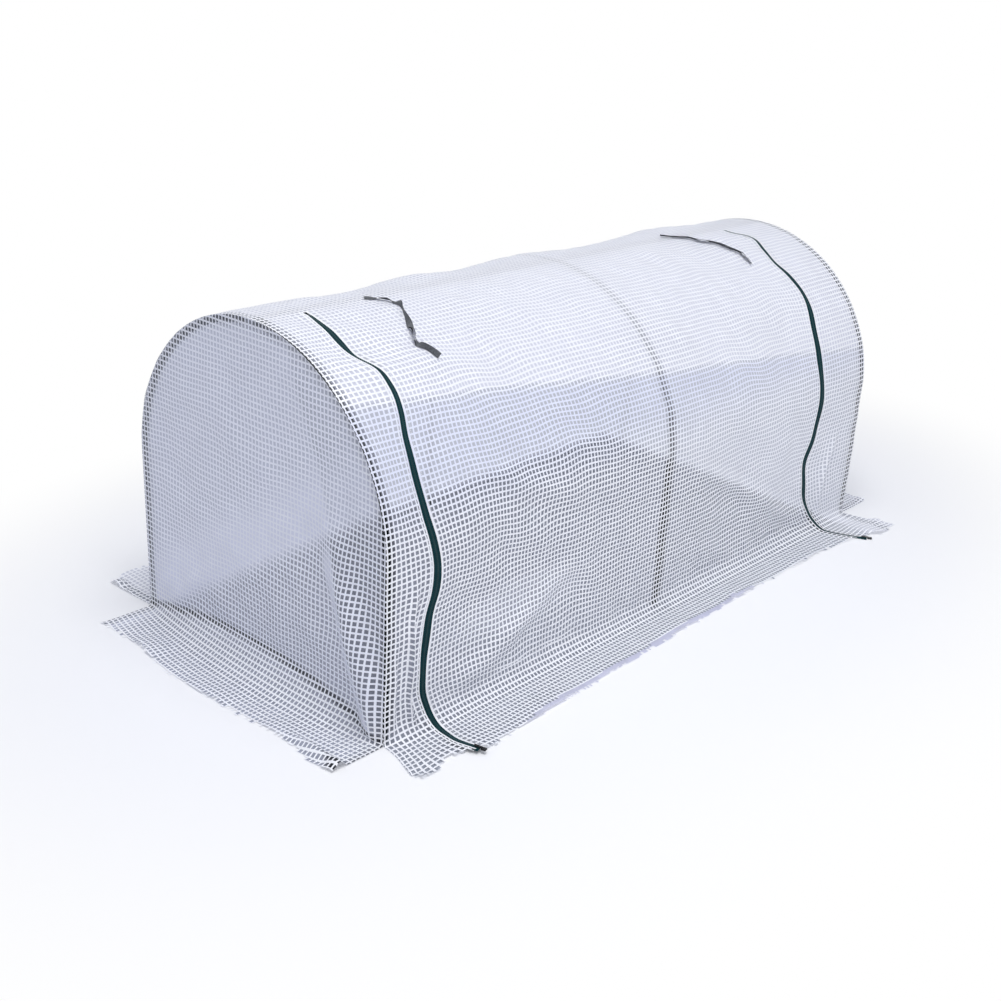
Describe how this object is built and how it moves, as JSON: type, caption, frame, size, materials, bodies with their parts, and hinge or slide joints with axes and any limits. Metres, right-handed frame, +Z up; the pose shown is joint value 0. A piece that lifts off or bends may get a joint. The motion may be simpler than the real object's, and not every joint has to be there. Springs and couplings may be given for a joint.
{
  "type": "mini polytunnel greenhouse with a roll-up side",
  "caption": "Low arched garden tunnel of steel hoops under a clear cover reinforced with a white mesh, with ground skirts, ribbon ties and a zipped side that rolls up.",
  "frame": {"origin": "on the ground at the middle of the tunnel's footprint", "axes": "+X along the tunnel from its front end to its rear end, +Z up, the zipped side at -Y"},
  "size_m": [2.36, 1.26, 0.8733],
  "materials": {
    "mesh_film": "clear film with a white tape lattice",
    "steel_tube": "satin powder coat",
    "pale_plastic": "moulded",
    "zip_tape": "woven tape with a coil",
    "slider": "enamelled",
    "tie_ribbon": "woven ribbon"
  },
  "bodies": {
    "root": {"leg_front_near": "steel_tube", "leg_front_far": "steel_tube", "arch_front_near": "steel_tube", "arch_front_far": "steel_tube", "leg_middle_near": "steel_tube", "leg_middle_far": "steel_tube", "arch_middle_near": "steel_tube", "arch_middle_far": "steel_tube", "leg_rear_near": "steel_tube", "leg_rear_far": "steel_tube", "arch_rear_near": "steel_tube", "arch_rear_far": "steel_tube", "ridge_bar_front": "steel_tube", "ridge_bar_rear": "steel_tube", "ridge_connector_front": "pale_plastic", "ridge_connector_middle": "pale_plastic", "ridge_connector_rear": "pale_plastic", "foot_front_near": "pale_plastic", "foot_front_far": "pale_plastic", "foot_middle_near": "pale_plastic", "foot_middle_far": "pale_plastic", "foot_rear_near": "pale_plastic", "foot_rear_far": "pale_plastic", "near_front_skirt": "mesh_film", "near_front_wall": "mesh_film", "near_front_roof": "mesh_film", "door_skirt": "mesh_film", "door_wall": "mesh_film", "door_roof": "mesh_film", "near_rear_skirt": "mesh_film", "near_rear_wall": "mesh_film", "near_rear_roof": "mesh_film", "far_skirt": "mesh_film", "far_wall": "mesh_film", "far_roof": "mesh_film", "end_panel_front": "mesh_film", "end_panel_rear": "mesh_film", "skirt_front": "mesh_film", "skirt_rear": "mesh_film", "zip_front": "zip_tape", "zip_rear": "zip_tape", "zip_slider_front": "slider", "zip_slider_rear": "slider", "tie_front": "tie_ribbon", "tie_rear": "tie_ribbon"}
  },
  "joints": []
}
